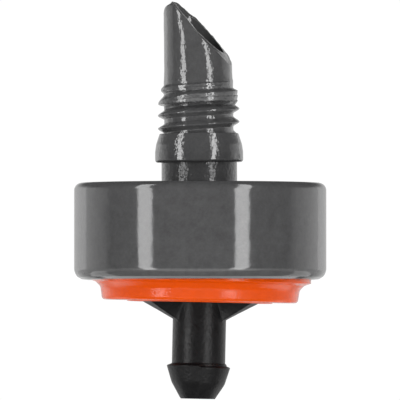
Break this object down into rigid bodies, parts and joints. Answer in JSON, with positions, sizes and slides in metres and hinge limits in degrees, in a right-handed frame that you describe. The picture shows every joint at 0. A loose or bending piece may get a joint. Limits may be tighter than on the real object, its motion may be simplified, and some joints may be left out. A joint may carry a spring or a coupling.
{
  "type": "drip emitter",
  "caption": "Pressure-compensating drip emitter with a threaded hollow spike, round housing, snap-in ring and barbed outlet for micro tube.",
  "frame": {"origin": "on the axis, in the housing's top face, where the pipe wall's outside comes to rest on the neck", "axes": "+Z along the axis towards the spike's tip, +X towards the lower end of the tip's slanting cut"},
  "size_m": [0.0228, 0.0226, 0.0359],
  "materials": {
    "grey_plastic": "semi-gloss moulded",
    "orange_plastic": "gloss moulded",
    "black_plastic": "satin moulded",
    "natural_plastic": "satin moulded",
    "silicone": "soft satin",
    "seal_rubber": "soft satin"
  },
  "bodies": {
    "housing": {"inlet_housing": "grey_plastic", "inlet_strainer": "natural_plastic"},
    "outlet": {"retaining_ring": "orange_plastic", "outlet_nozzle": "black_plastic", "labyrinth_disc": "natural_plastic", "seal_ring": "seal_rubber"},
    "membrane": {"diaphragm": "silicone"}
  },
  "joints": [
    {"name": "outlet_swivel", "type": "hinge", "parent": "housing", "child": "outlet", "pos_m": [0, 0, -0.0073], "axis": [0, 0, 1], "continuous": true},
    {"name": "diaphragm_lift", "type": "slide", "parent": "outlet", "child": "membrane", "axis": [0, 0, 1], "range_m": [0, 0.00035]}
  ]
}
